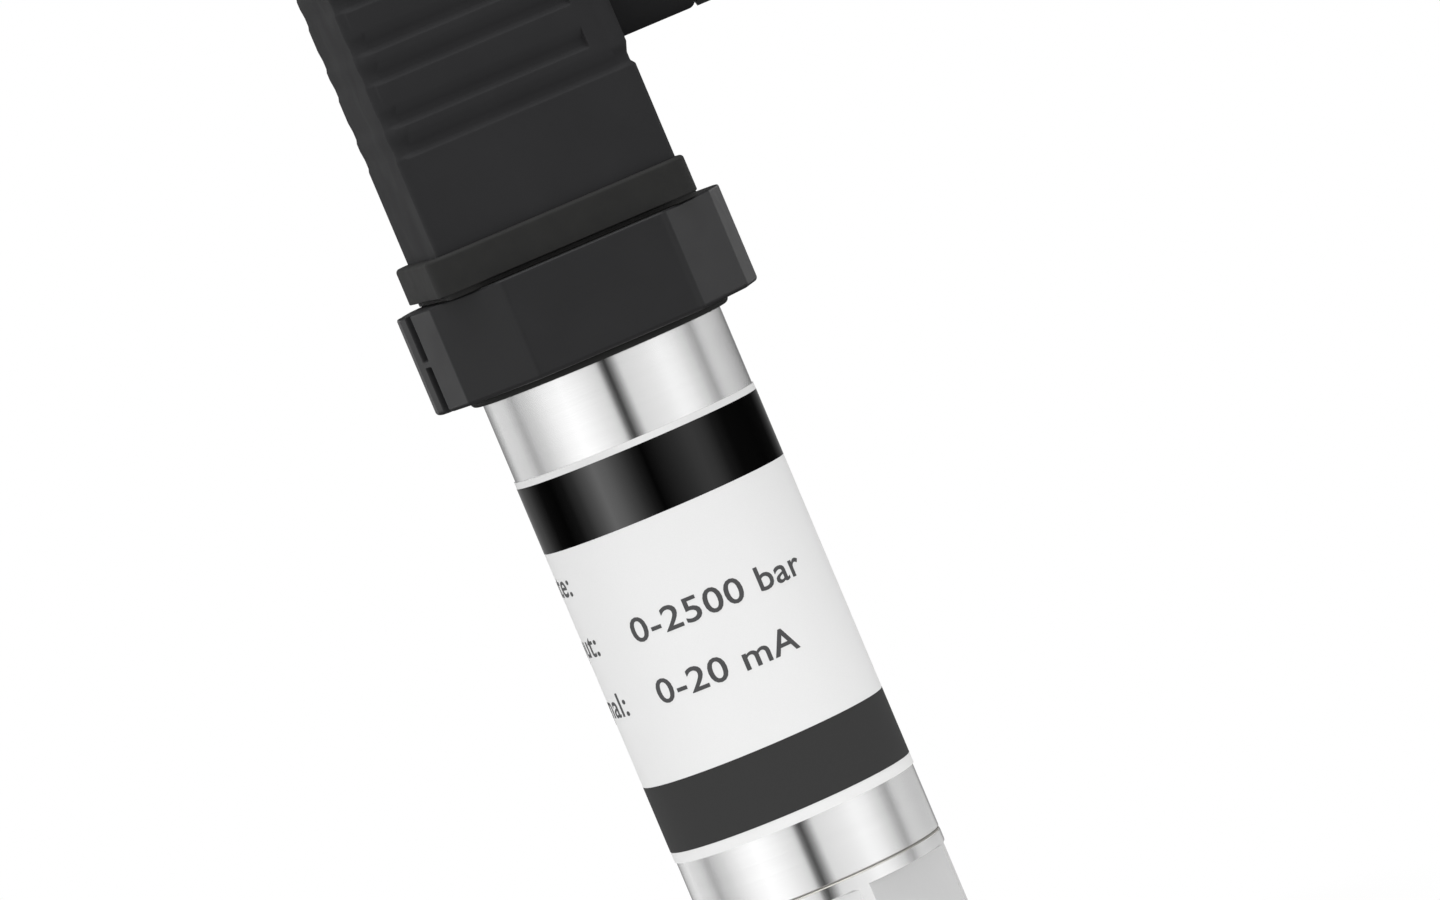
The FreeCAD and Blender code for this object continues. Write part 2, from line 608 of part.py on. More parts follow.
def terminal_screws():
    """Four clamp screws, slotted, above the contacts."""
    head_top = CONTACT_TOP + TERMINAL_HEAD_H
    wire_top = SLOT_TOP + WIRE_HOLE_D + EASY
    screw = rod(TERMINAL_SCREW_D / 2, wire_top, CONTACT_TOP, BLADE_R)
    screw = screw.fuse(rod(TERMINAL_HEAD_D / 2, CONTACT_TOP, head_top, BLADE_R))
    slot = block(SCREW_SLOT_W, TERMINAL_HEAD_D, head_top - TERMINAL_HEAD_H / 2, head_top, x=BLADE_R)
    return Part.makeCompound([turned(screw.cut(slot), a) for a in QUARTERS])


def gland_seal():
    """Rubber ring that grips the cable."""
    seal = bar(GLAND_THREAD_D / 2 - EASY, OUTLET_X, OUTLET_X + SEAL_L)
    return seal.cut(bar(CABLE_D / 2, OUTLET_X, OUTLET_X + SEAL_L))


def gland_washer():
    """Pressure washer between the nut and the seal."""
    near = OUTLET_X + SEAL_L
    washer = bar(GLAND_THREAD_D / 2 - EASY, near, near + GLAND_WASHER_T)
    return washer.cut(bar(NUT_HOLE_D / 2, near, near + GLAND_WASHER_T))


def gland_nut():
    """Six-sided gland nut: threaded stem in the outlet, hexagon outside it."""
    flange = OUTLET_END + NUT_GAP
    end = flange + NUT_L
    reach = NUT_AF / math.sqrt(3)
    corners = []
    for step in range(7):
        angle = math.radians(60 * step)
        corners.append(FreeCAD.Vector(flange, reach * math.sin(angle), OUTLET_Z + reach * math.cos(angle)))
    hexagon = Part.Face(Part.makePolygon(corners)).extrude(FreeCAD.Vector(NUT_L, 0, 0))
    turned_blank = bar(reach, flange, end)
    rim = [e for e in turned_blank.Edges if abs(e.CenterOfMass.x - end) < 1e-6]
    hexagon = hexagon.common(turned_blank.makeChamfer(NUT_EDGE, rim))
    stem = bar(GLAND_THREAD_D / 2 - FIT, OUTLET_X + SEAL_L + GLAND_WASHER_T, flange)
    hole = bar(NUT_HOLE_D / 2, OUTLET_X, end)
    mouth = Part.makeCone(NUT_HOLE_D / 2, NUT_HOLE_D / 2 + NUT_EDGE, NUT_EDGE,
                          FreeCAD.Vector(end - NUT_EDGE, 0, OUTLET_Z), OUT)
    return hexagon.fuse(stem).cut(hole).cut(mouth).removeSplitter()


def fixing_screw():
    """Slotted centre screw that holds the plug on the base."""
    head = rod(SCREW_HEAD_D / 2, HEAD_Z, HEAD_Z + SCREW_HEAD_H)
    head = head.makeFillet(SCREW_HEAD_H / 6, edges_at(head, HEAD_Z + SCREW_HEAD_H))
    slot_low = HEAD_Z + SCREW_HEAD_H - SCREW_SLOT_DEPTH
    head = head.cut(block(SCREW_HEAD_D, SCREW_SLOT_W, slot_low, HEAD_Z + SCREW_HEAD_H))
    shank = rod(SCREW_D / 2, INSERT_Z + SCREW_TIP_GAP, HEAD_Z)
    return head.fuse(shank).removeSplitter()


def screw_seal():
    """Rubber ring under the head of the centre screw."""
    return ring(SCREW_HEAD_D / 2 + LOOSE, SCREW_D / 2 + EASY, SCREW_SEAT_Z, HEAD_Z)


os.makedirs("parts", exist_ok=True)
PIECES = (
    process_fitting, body_tube, label, sensor_cell, gauge_disc, gauge_leads, gauge_board,
    signal_leads, amplifier_board, amplifier_chip, regulator_chip, filter_capacitors,
    insulating_sleeve, connector_base, collar_seal, contact_blades, earth_blade, thread_insert,
    profile_gasket, plug_housing, terminal_carrier, socket_contacts, terminal_screws,
    gland_seal, gland_washer, gland_nut, fixing_screw, screw_seal,
)
for piece in PIECES:
    save(piece.__name__, piece())
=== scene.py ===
# %% [markdown]
# # A pressure transmitter, from bare solids to a finished portrait
#
# The transmitter is a stainless tube with a welded fitting below and a black plug on top. Its
# solids were drawn at their real size in a CAD program, and they are loaded here as a frame that
# stays where it is. This lesson sets up the camera and a white studio, gives every surface the
# finish of its real material, rounds the edges that catch the light, cuts the threads and prints
# the label.

# %% Load the frame
import json
import math

import bpy
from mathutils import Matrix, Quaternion, Vector

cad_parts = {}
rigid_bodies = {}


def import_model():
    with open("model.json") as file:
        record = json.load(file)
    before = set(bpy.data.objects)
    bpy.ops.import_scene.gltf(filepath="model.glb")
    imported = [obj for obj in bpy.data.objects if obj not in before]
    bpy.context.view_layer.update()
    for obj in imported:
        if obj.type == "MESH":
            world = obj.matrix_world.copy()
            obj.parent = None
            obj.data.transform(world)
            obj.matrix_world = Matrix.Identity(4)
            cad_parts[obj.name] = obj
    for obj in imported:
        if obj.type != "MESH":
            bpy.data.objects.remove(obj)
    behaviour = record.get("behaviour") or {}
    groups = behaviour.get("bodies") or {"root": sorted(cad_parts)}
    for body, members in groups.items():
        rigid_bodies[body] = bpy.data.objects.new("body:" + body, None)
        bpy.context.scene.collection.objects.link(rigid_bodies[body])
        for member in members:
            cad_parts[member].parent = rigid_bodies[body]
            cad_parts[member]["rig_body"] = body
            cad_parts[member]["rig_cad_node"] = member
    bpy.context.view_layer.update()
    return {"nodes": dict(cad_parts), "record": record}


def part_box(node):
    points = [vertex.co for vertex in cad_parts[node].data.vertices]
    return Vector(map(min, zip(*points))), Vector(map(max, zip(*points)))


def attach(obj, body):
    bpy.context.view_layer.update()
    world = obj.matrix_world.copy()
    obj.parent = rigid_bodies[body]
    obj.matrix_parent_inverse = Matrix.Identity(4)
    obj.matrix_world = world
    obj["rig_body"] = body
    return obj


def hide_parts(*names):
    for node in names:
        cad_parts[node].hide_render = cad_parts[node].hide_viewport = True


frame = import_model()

MM = 0.001

# %% [markdown]
# ## Camera
#
# The portrait is taken from almost level with the plug, a little to the left of its front, with a
# long lens, so upright edges stay nearly parallel. The whole picture is tilted: the transmitter
# leans to the upper left. A camera can be aimed with a Track To constraint, but a roll is easier
# to add to a rotation that is worked out once from the eye and the point it looks at.

# %% Camera
PICTURE_WIDTH = 1440               # pixels
FOCAL_LENGTH = 9363.5              # pixels, at that picture width
SENSOR = 36.0                      # mm
VIEW_TURN = math.radians(-8.318)   # the eye is this far round from the front, towards -X
EYE_DISTANCE = 983 * MM
EYE_HEIGHT = 122.05 * MM
AIM_HEIGHT = 71.438 * MM
AIM_ASIDE = 7.637 * MM             # the axis stands left of the picture's middle
ROLL = math.radians(22.887)

view_back = Vector((math.sin(VIEW_TURN), -math.cos(VIEW_TURN), 0))
view_right = Vector((math.cos(VIEW_TURN), math.sin(VIEW_TURN), 0))
eye = view_back * EYE_DISTANCE + Vector((0, 0, EYE_HEIGHT))
aim = view_right * AIM_ASIDE + Vector((0, 0, AIM_HEIGHT))
looking = (aim - eye).to_track_quat("-Z", "Y") @ Quaternion((0, 0, 1), -ROLL)

bpy.ops.object.camera_add(location=eye, rotation=looking.to_euler())
camera = bpy.context.object
camera.name = "portrait_camera"
camera.data.sensor_width = SENSOR
camera.data.lens = SENSOR * FOCAL_LENGTH / PICTURE_WIDTH
camera.data.clip_start = 0.1
camera.data.clip_end = 20.0
bpy.context.scene.camera = camera
bpy.context.scene.view_settings.view_transform = "Standard"
print("lens", round(camera.data.lens, 1), "mm, eye at", [round(x, 3) for x in eye])

# %% [markdown]
# ## Two helpers for shaders
#
# Colours are easiest to read off a picture as sRGB hex codes, while shaders work in linear light,
# so one function converts them. Another adds a node, sets its options and fills its sockets: a
# number or colour is typed in, and another node's socket is wired in.

# %% Colour and node helpers
def linear(code):
    """The linear RGBA of an sRGB colour written as #rrggbb."""
    steps = [int(code[i:i + 2], 16) / 255 for i in (1, 3, 5)]
    light = [s / 12.92 if s <= 0.04045 else ((s + 0.055) / 1.055) ** 2.4 for s in steps]
    return (*light, 1.0)


def add_node(tree, kind, sockets=None, **options):
    """Add one node; sockets maps an input to a value or to another node's output."""
    node = tree.nodes.new(kind)
    for name, value in options.items():
        setattr(node, name, value)
    for key, value in (sockets or {}).items():
        if isinstance(value, bpy.types.NodeSocket):
            tree.links.new(value, node.inputs[key])
        else:
            node.inputs[key].default_value = value
    return node


def new_finish(name, surface):
    """A material with one Principled shader whose plain values are given in surface."""
    finish = bpy.data.materials.new(name)
    finish.use_nodes = True
    shader = finish.node_tree.nodes["Principled BSDF"]
    for socket, value in surface.items():
        shader.inputs[socket].default_value = value
    return finish, finish.node_tree, shader


def set_stops(ramp_node, stops):
    """Fill a Color Ramp from (place, colour) pairs in rising order."""
    elements = ramp_node.color_ramp.elements
    while len(elements) < len(stops):
        elements.new(1.0)
    for element, (place, colour) in zip(elements, stops):
        element.position = place
        element.color = colour


print("helpers ready; mid grey #808080 is", round(linear("#808080")[0], 3), "in linear light")

# %% [markdown]
# ## Studio light: a white tent
#
# Shiny tubes are photographed inside a tent of white cloth lit from outside by two large soft
# boxes. The tube mirrors the tent: two broad bright stripes from the boxes, thin grey lines where
# the cloth is sewn, and one dark line in the middle, the slit that the lens looks through. Lamps
# and cloth could be modelled as planes, but the tent is drawn on the world instead, as brightness
# by compass angle, because then every piece gets the same soft light with no noise. The average on
# an upright face is about 1, so a colour renders about as it is written.
#
# Level with the part there is a narrow streak: the hot middle of one soft box, and dark gaps in the
# cloth beside it. Brushed steel blurs it away along its length, and only the glossy black ink shows
# it.

# %% Brightness of the tent
TENT = (                # degrees from the eye, rising to its right, and brightness
    (-180, 0.30), (-168, 0.40), (-154, 1.38), (-140, 2.22), (-118, 1.98), (-110, 1.55), (-103, 1.12),
    (-95, 1.44), (-74, 1.70), (-60, 1.67), (-50, 1.53), (-27, 1.58), (-12, 1.45), (-8, 1.25),
    (-4.5, 0.32), (0, 0.01), (5.5, 0.50), (12, 1.45), (38, 1.60), (52, 1.84), (68, 1.74), (80, 1.50),
    (87, 1.16), (93, 0.92), (99, 1.42), (106, 1.78), (116, 1.84), (138, 1.68), (154, 1.36),
    (168, 0.40), (180, 0.30),
)
STREAK = (              # the same in the streak level with the part
    (-180, 0.30), (-138, 0.26), (-115, 0.03), (-98, 0.01), (-84, 0.08), (-71, 0.42), (-58, 1.25),
    (-47, 2.20), (-36, 1.75), (-26, 1.05), (-15, 0.42), (-8, 0.16), (0, 0.02), (8, 0.10),
    (19, 0.25), (29, 0.40), (40, 0.60), (48, 0.66), (58, 0.52), (71, 0.14), (84, 0.03),
    (115, 0.01), (138, 0.02), (180, 0.30),
)
STREAK_LEVEL = -0.042   # sine of the height angle of its middle
STREAK_HALF = (0.035, 0.055)       # from its middle: where it starts to fade, and where it ends


def grey_stops(stops, place):
    """Ramp stops from (angle, brightness) pairs; place turns an angle into a place on the ramp."""
    return [(place(angle), (light, light, light, 1)) for angle, light in stops]


print("tent of", len(TENT), "stops, with a streak of", len(STREAK))

# %% [markdown]
# ## Walls of the tent
#
# On a world, Generated coordinates are the direction of each ray. Its X and Y give the compass
# angle, counted from the eye, and that angle is looked up in two Color Ramps: one for the cloth and
# one for the streak, which takes over where the ray is nearly level.

# %% Tent walls on the world
def on_compass(angle):
    return 0.5 + angle / 360


world = bpy.data.worlds.new("light_tent")
bpy.context.scene.world = world
world.use_nodes = True
tree = world.node_tree
background = tree.nodes["Background"]
direction = add_node(tree, "ShaderNodeTexCoord").outputs["Generated"]
part = add_node(tree, "ShaderNodeSeparateXYZ", {0: direction})
forward = add_node(tree, "ShaderNodeMath", {0: part.outputs["Y"], 1: -1.0}, operation="MULTIPLY")
compass = add_node(tree, "ShaderNodeMath", {0: part.outputs["X"], 1: forward.outputs[0]},
                   operation="ARCTAN2")
turns = add_node(tree, "ShaderNodeMath", {0: compass.outputs[0], 1: 1 / math.tau,
                 2: 0.5 - VIEW_TURN / math.tau}, operation="MULTIPLY_ADD")
around = add_node(tree, "ShaderNodeMath", {0: turns.outputs[0]}, operation="FRACT")
cloth = add_node(tree, "ShaderNodeValToRGB", {0: around.outputs[0]})
set_stops(cloth, grey_stops(TENT, on_compass))
streak = add_node(tree, "ShaderNodeValToRGB", {0: around.outputs[0]})
set_stops(streak, grey_stops(STREAK, on_compass))
above_streak = add_node(tree, "ShaderNodeMath", {0: part.outputs["Z"], 1: STREAK_LEVEL},
                        operation="SUBTRACT")
off_streak = add_node(tree, "ShaderNodeMath", {0: above_streak.outputs[0]}, operation="ABSOLUTE")
in_streak = add_node(tree, "ShaderNodeMapRange", {"Value": off_streak.outputs[0],
                     "From Min": STREAK_HALF[0], "From Max": STREAK_HALF[1], "To Min": 1.0,
                     "To Max": 0.0})
sides = add_node(tree, "ShaderNodeMix", {0: in_streak.outputs[0], 6: cloth.outputs[0],
                 7: streak.outputs[0]}, data_type="RGBA")
print("walls drawn round", world.name)

# %% [markdown]
# ## Roof and back wall
#
# A lamp above the tent makes its roof much brighter than the walls: it puts light on every small
# ledge and shade under it. That is a third ramp, over the height of the ray. The wall behind the
# part is dimmer above and below its level, which keeps the far sides of the black pieces dark. The
# lens itself sees plain white, by the Light Path node, so the picture has a clean background.

# %% Roof, back wall and background
RISE = (                # degrees above the horizon, and brightness
    (-90, 0.55), (-30, 0.55), (-14, 0.75), (-10, 1.0), (6, 1.0), (12, 0.7), (22, 0.58), (40, 0.9),
    (52, 1.6), (64, 6.5), (90, 6.5),
)
ROOF = (0.45, 0.9)      # sine of the height angle: the compass starts to fade, and has faded out
BEHIND = 0.08           # share of the light left on the wall behind the part
BACK_WALL = (-0.8, 0.4)            # cosine from the eye: right behind, and in front again
OFF_LEVEL = (0.1, 0.2)             # sine of the height angle: the back wall starts to dim, and is dim
WHITE = (1, 1, 1, 1)


def on_height(angle):
    return 0.5 + math.sin(math.radians(angle)) / 2


steep = add_node(tree, "ShaderNodeMath", {0: part.outputs["Z"]}, operation="ABSOLUTE")
overhead = add_node(tree, "ShaderNodeMapRange", {"Value": steep.outputs[0], "From Min": ROOF[0],
                    "From Max": ROOF[1]}, interpolation_type="SMOOTHSTEP")
walls = add_node(tree, "ShaderNodeMix", {0: overhead.outputs[0], 6: sides.outputs[2], 7: WHITE},
                 data_type="RGBA")
upward = add_node(tree, "ShaderNodeMapRange", {"Value": part.outputs["Z"], "From Min": -1.0})
height = add_node(tree, "ShaderNodeValToRGB", {0: upward.outputs[0]})
set_stops(height, grey_stops(RISE, on_height))
lit = add_node(tree, "ShaderNodeMix", {0: 1.0, 6: walls.outputs[2], 7: height.outputs[0]},
               data_type="RGBA", blend_type="MULTIPLY")
towards = add_node(tree, "ShaderNodeVectorMath", {0: direction, 1: view_back},
                   operation="DOT_PRODUCT")
back_wall = add_node(tree, "ShaderNodeMapRange", {"Value": towards.outputs["Value"],
                     "From Min": BACK_WALL[0], "From Max": BACK_WALL[1], "To Min": BEHIND,
                     "To Max": 1.0})
off_level = add_node(tree, "ShaderNodeMapRange", {"Value": steep.outputs[0],
                     "From Min": OFF_LEVEL[0], "From Max": OFF_LEVEL[1]})
share = add_node(tree, "ShaderNodeMix", {0: off_level.outputs[0], 2: 1.0, 3: back_wall.outputs[0]})
tent = add_node(tree, "ShaderNodeVectorMath", {0: lit.outputs[2], 1: share.outputs[0]},
                operation="MULTIPLY")
rays = add_node(tree, "ShaderNodeLightPath")
seen = add_node(tree, "ShaderNodeMix", {0: rays.outputs["Is Camera Ray"], 6: tent.outputs[0],
                7: WHITE}, data_type="RGBA")
tree.links.new(seen.outputs[2], background.inputs["Color"])
print("roof drawn with", len(RISE), "stops")

# %% [markdown]
# ## Floor
#
# A disc of pale card. Card lit by the tent would come out slightly grey, so most of what the
# lens sees of it is plain white, all of it towards the rim, where the card fades into the white
# behind it. The rest stays real card, which keeps the soft shadow under the fitting.

# %% Floor
FLOOR_R = 64 * MM
FADE_FROM = 24 * MM            # from here out the card fades into white
PLAIN_WHITE = 0.75             # share of plain white in the middle

bpy.ops.object.select_all(action="DESELECT")
bpy.ops.mesh.primitive_circle_add(vertices=128, radius=FLOOR_R, fill_type="NGON")
floor = bpy.context.object
floor.name = "floor"
card, tree, shader = new_finish("white_card", {"Base Color": linear("#bcbcba"), "Roughness": 0.9,
                                               "Specular IOR Level": 0.1})
place = add_node(tree, "ShaderNodeTexCoord").outputs["Object"]
reach = add_node(tree, "ShaderNodeVectorMath", {0: place}, operation="LENGTH")
fade = add_node(tree, "ShaderNodeMapRange", {"Value": reach.outputs["Value"], "From Min": FADE_FROM,
                "From Max": FLOOR_R, "To Min": PLAIN_WHITE, "To Max": 1.0})
rays = add_node(tree, "ShaderNodeLightPath")
mirrored = add_node(tree, "ShaderNodeMath", {0: rays.outputs["Is Camera Ray"],
                    1: rays.outputs["Is Glossy Ray"]}, operation="ADD")
looked_at = add_node(tree, "ShaderNodeMath", {0: mirrored.outputs[0],
                     1: rays.outputs["Is Transmission Ray"]}, operation="ADD", use_clamp=True)
share = add_node(tree, "ShaderNodeMath", {0: looked_at.outputs[0], 1: fade.outputs[0]},
                 operation="MULTIPLY")
glow = add_node(tree, "ShaderNodeEmission", {"Color": WHITE, "Strength": 1.0})
mixed = add_node(tree, "ShaderNodeMixShader", {0: share.outputs[0], 1: shader.outputs[0],
                 2: glow.outputs[0]})
tree.links.new(mixed.outputs[0], tree.nodes["Material Output"].inputs["Surface"])
floor.data.materials.append(card)
print("floor disc,", round(2 * FLOOR_R / MM), "mm across")

# %% [markdown]
# ## Turned stainless steel
#
# The tube and fitting are chromium-nickel steel, turned on a lathe and polished round and round.
# The polish leaves fine lines round the axis, so a reflection is sharp across the tube and smeared
# along it: that is anisotropic gloss, with the tangent running round Z. The lines themselves are
# noise over radius and height only, so they are rings on a flat face as well. Real lines are a few
# hundredths of a millimetre apart, too fine to show, so they are drawn coarser.

# %% Stainless steel
TURNING_LINE = 0.14 * MM       # drawn coarser than the real 0.03 mm
POLISH_PATCH = 9.0 * MM        # slow change of the polish along the bar


def stainless_turned():
    finish, tree, shader = new_finish("stainless_steel_turned", {
        "Metallic": 1.0, "Anisotropic": 1.0, "Anisotropic Rotation": 0.25})
    place = add_node(tree, "ShaderNodeTexCoord").outputs["Object"]
    part = add_node(tree, "ShaderNodeSeparateXYZ", {0: place})
    across = add_node(tree, "ShaderNodeCombineXYZ", {0: part.outputs[0], 1: part.outputs[1]})
    radius = add_node(tree, "ShaderNodeVectorMath", {0: across.outputs[0]}, operation="LENGTH")
    lathe = add_node(tree, "ShaderNodeCombineXYZ", {0: radius.outputs["Value"], 1: part.outputs[2]})
    lines = add_node(tree, "ShaderNodeTexNoise", {"Vector": lathe.outputs[0],
                     "Scale": 1 / TURNING_LINE, "Detail": 3.0}, noise_dimensions="2D")
    patch = add_node(tree, "ShaderNodeTexNoise", {"Vector": place, "Scale": 1 / POLISH_PATCH,
                     "Detail": 2.0})
    tone = add_node(tree, "ShaderNodeMix", {0: lines.outputs[0], 6: linear("#d2d2d2"),
                    7: linear("#d8d8d8")}, data_type="RGBA")
    gloss = add_node(tree, "ShaderNodeMapRange", {"Value": patch.outputs[0], "To Min": 0.155,
                     "To Max": 0.2})
    groove = add_node(tree, "ShaderNodeBump", {"Height": lines.outputs[0], "Strength": 0.3,
                      "Distance": 0.0012 * MM})
    round_axis = add_node(tree, "ShaderNodeTangent", direction_type="RADIAL", axis="Z")
    tree.links.new(tone.outputs[2], shader.inputs["Base Color"])
    tree.links.new(gloss.outputs[0], shader.inputs["Roughness"])
    tree.links.new(groove.outputs[0], shader.inputs["Normal"])
    tree.links.new(round_axis.outputs[0], shader.inputs["Tangent"])
    return finish


finishes = {"stainless": stainless_turned()}
print("made", finishes["stainless"].name)

# %% [markdown]
# ## Moulded black nylon
#
# Plug, base and gland nut are glass-filled nylon, coloured right through with carbon black. The
# mould was spark-eroded, which gives the skin a fine even grain and a soft, low shine; the glass
# fibres add slow cloudy changes where the melt flowed. The base's mould is smoother than the plug's,
# so the base is blacker and mirrors more of the tent, while the plug is an even dull grey-black.

# %% Black nylon
SPARK_GRAIN = 0.22 * MM
FLOW_CLOUD = 7.0 * MM


def nylon_moulded(name, dark, light, sheen, dullness):
    finish, tree, shader = new_finish(name, {"Specular IOR Level": sheen, "IOR": 1.53})
    place = add_node(tree, "ShaderNodeTexCoord").outputs["Object"]
    grain = add_node(tree, "ShaderNodeTexNoise", {"Vector": place, "Scale": 1 / SPARK_GRAIN,
                     "Detail": 2.0})
    cloud = add_node(tree, "ShaderNodeTexNoise", {"Vector": place, "Scale": 1 / FLOW_CLOUD,
                     "Detail": 3.0, "Distortion": 0.6})
    tone = add_node(tree, "ShaderNodeMix", {0: cloud.outputs[0], 6: linear(dark),
                    7: linear(light)}, data_type="RGBA")
    gloss = add_node(tree, "ShaderNodeMapRange", {"Value": cloud.outputs[0], "From Min": 0.3,
                     "From Max": 0.7, "To Min": dullness - 0.05, "To Max": dullness + 0.05})
    skin = add_node(tree, "ShaderNodeBump", {"Height": grain.outputs[0], "Strength": 0.35,
                    "Distance": 0.012 * MM})
    tree.links.new(tone.outputs[2], shader.inputs["Base Color"])
    tree.links.new(gloss.outputs[0], shader.inputs["Roughness"])
    tree.links.new(skin.outputs[0], shader.inputs["Normal"])
    return finish


finishes["black_nylon"] = nylon_moulded("glass_filled_nylon_black", "#1d1d1e", "#232324", 0.15, 0.42)
finishes["carrier_nylon"] = nylon_moulded("glass_filled_nylon_grey", "#2a2a2b", "#343435", 0.35, 0.5)
plug_skin = nylon_moulded("glass_filled_nylon_eroded", "#252526", "#2b2b2c", 0.05, 0.68)
print("made", finishes["black_nylon"].name, finishes["carrier_nylon"].name, plug_skin.name)

# %% [markdown]
# ## Rubber
#
# The gasket, the O-rings and the seal in the gland are nitrile rubber, pressed in a blasted mould.
# It is duller than the nylon, with a faint grey bloom that wax leaves as it comes to the surface.

# %% Rubber
BLAST_GRAIN = 0.12 * MM
BLOOM_PATCH = 2.5 * MM


def rubber_pressed():
    finish, tree, shader = new_finish("nitrile_rubber_pressed", {"Specular IOR Level": 0.12,
                                                                 "IOR": 1.52})
    place = add_node(tree, "ShaderNodeTexCoord").outputs["Object"]
    grain = add_node(tree, "ShaderNodeTexNoise", {"Vector": place, "Scale": 1 / BLAST_GRAIN})
    bloom = add_node(tree, "ShaderNodeTexNoise", {"Vector": place, "Scale": 1 / BLOOM_PATCH,
                     "Detail": 4.0, "Roughness": 0.6})
    tone = add_node(tree, "ShaderNodeMix", {0: bloom.outputs[0], 6: linear("#1d1d1d"),
                    7: linear("#292928")}, data_type="RGBA")
    gloss = add_node(tree, "ShaderNodeMapRange", {"Value": bloom.outputs[0], "To Min": 0.6,
                     "To Max": 0.8})
    skin = add_node(tree, "ShaderNodeBump", {"Height": grain.outputs[0], "Strength": 0.4,
                    "Distance": 0.01 * MM})
    tree.links.new(tone.outputs[2], shader.inputs["Base Color"])
    tree.links.new(gloss.outputs[0], shader.inputs["Roughness"])
    tree.links.new(skin.outputs[0], shader.inputs["Normal"])
    return finish


finishes["black_rubber"] = rubber_pressed()
print("made", finishes["black_rubber"].name)

# %% [markdown]
# ## Label film and inks
#
# The label is white polyester film, glued round the tube and printed with three inks: a glossy
# black that mirrors the tent, a dull dark grey, and a screened grey for the words. Film and inks
# are even, so each is a plain tone with the faint speckle of the printing screen in it. The film
# isn't glued down perfectly flat, which a slow wave in its bump shows.

# %% Film and inks
PRINT_GRAIN = 0.1 * MM
FILM_WAVE = 14.0 * MM


def film_or_ink(name, dark, light, surface):
    finish, tree, shader = new_finish(name, surface)
    place = add_node(tree, "ShaderNodeTexCoord").outputs["Object"]
    speck = add_node(tree, "ShaderNodeTexNoise", {"Vector": place, "Scale": 1 / PRINT_GRAIN,
                     "Detail": 2.0})
    tone = add_node(tree, "ShaderNodeMix", {0: speck.outputs[0], 6: linear(dark),
                    7: linear(light)}, data_type="RGBA")
    wave = add_node(tree, "ShaderNodeTexNoise", {"Vector": place, "Scale": 1 / FILM_WAVE})
    skin = add_node(tree, "ShaderNodeBump", {"Height": wave.outputs[0], "Strength": 0.3,
                    "Distance": 0.12 * MM})
    tree.links.new(tone.outputs[2], shader.inputs["Base Color"])
    tree.links.new(skin.outputs[0], shader.inputs["Normal"])
    return finish


finishes["label_film"] = film_or_ink("polyester_film_white", "#d8d8d8", "#e0e0e0", {
    "Roughness": 0.5, "IOR": 1.58, "Specular IOR Level": 0.4})
black_ink = film_or_ink("offset_ink_black_glossy", "#000000", "#020202", {
    "Roughness": 0.05, "Specular IOR Level": 0.68})
grey_ink = film_or_ink("offset_ink_grey_dull", "#2d2d2d", "#333333", {
    "Roughness": 0.75, "Specular IOR Level": 0.2})
word_ink = film_or_ink("screen_ink_grey", "#3c3c3d", "#4a4a4b", {
    "Roughness": 0.6, "Specular IOR Level": 0.3})
print("made", finishes["label_film"].name, "and three inks")

# %% [markdown]
# ## Plated and bare metals
#
# The screws and the washer are zinc-plated steel, the blades and contacts are tinned brass, the
# thread insert is bare brass, the leads are tinned copper and the capacitors have aluminium cans.
# The fitting's own steel is duller where it was milled, and tinted where it was welded. All these
# differ in colour and in the marks left by rolling, turning or milling, so one function with a
# tone, a gloss and a grain size serves them all.

# %% Other metals
def metal_worked(name, dark, light, gloss, grain):
    finish, tree, shader = new_finish(name, {"Metallic": 1.0})
    place = add_node(tree, "ShaderNodeTexCoord").outputs["Object"]
    rolled = add_node(tree, "ShaderNodeMapping", {"Vector": place, "Scale": (1, 1, 0.15)})
    marks = add_node(tree, "ShaderNodeTexNoise", {"Vector": rolled.outputs[0], "Scale": 1 / grain,
                     "Detail": 4.0})
    tone = add_node(tree, "ShaderNodeMix", {0: marks.outputs[0], 6: linear(dark),
                    7: linear(light)}, data_type="RGBA")
    polish = add_node(tree, "ShaderNodeMapRange", {"Value": marks.outputs[0],
                      "To Min": gloss - 0.08, "To Max": gloss + 0.08})
    dent = add_node(tree, "ShaderNodeBump", {"Height": marks.outputs[0], "Strength": 0.2,
                    "Distance": 0.01 * MM})
    tree.links.new(tone.outputs[2], shader.inputs["Base Color"])
    tree.links.new(polish.outputs[0], shader.inputs["Roughness"])
    tree.links.new(dent.outputs[0], shader.inputs["Normal"])
    return finish


finishes["plated_steel"] = metal_worked("zinc_plated_steel", "#b4b7b8", "#cfd0cc", 0.3, 0.5 * MM)
finishes["tinned_brass"] = metal_worked("tinned_brass_rolled", "#bdb9b0", "#d4d0c6", 0.32, 0.3 * MM)
finishes["brass"] = metal_worked("brass_turned", "#b8923f", "#d2b060", 0.28, 0.3 * MM)
milled_steel = metal_worked("stainless_steel_milled", "#d4d4d4", "#dadada", 0.46, 0.25 * MM)
welded_steel = metal_worked("stainless_steel_weld_tinted", "#aaa7a1", "#b4b1ab", 0.45, 0.2 * MM)
finishes["tinned_copper"] = metal_worked("tinned_copper_drawn", "#c4bfb5", "#d8d3c8", 0.25, 0.2 * MM)
finishes["capacitor_can"] = metal_worked("aluminium_drawn", "#c9cbcd", "#dcdddd", 0.3, 0.3 * MM)
print("made", milled_steel.name, welded_steel.name, "and five plated or bare metals")

# %% [markdown]
# ## Inside pieces
#
# The boards are woven glass cloth in epoxy under green lacquer, so a fine square weave shows in
# their skin. The chips are black epoxy full of quartz powder, the gauge sits on a disc of sapphire,
# and an amber polyimide film lines the tube. None of them shows until the part is cut open.

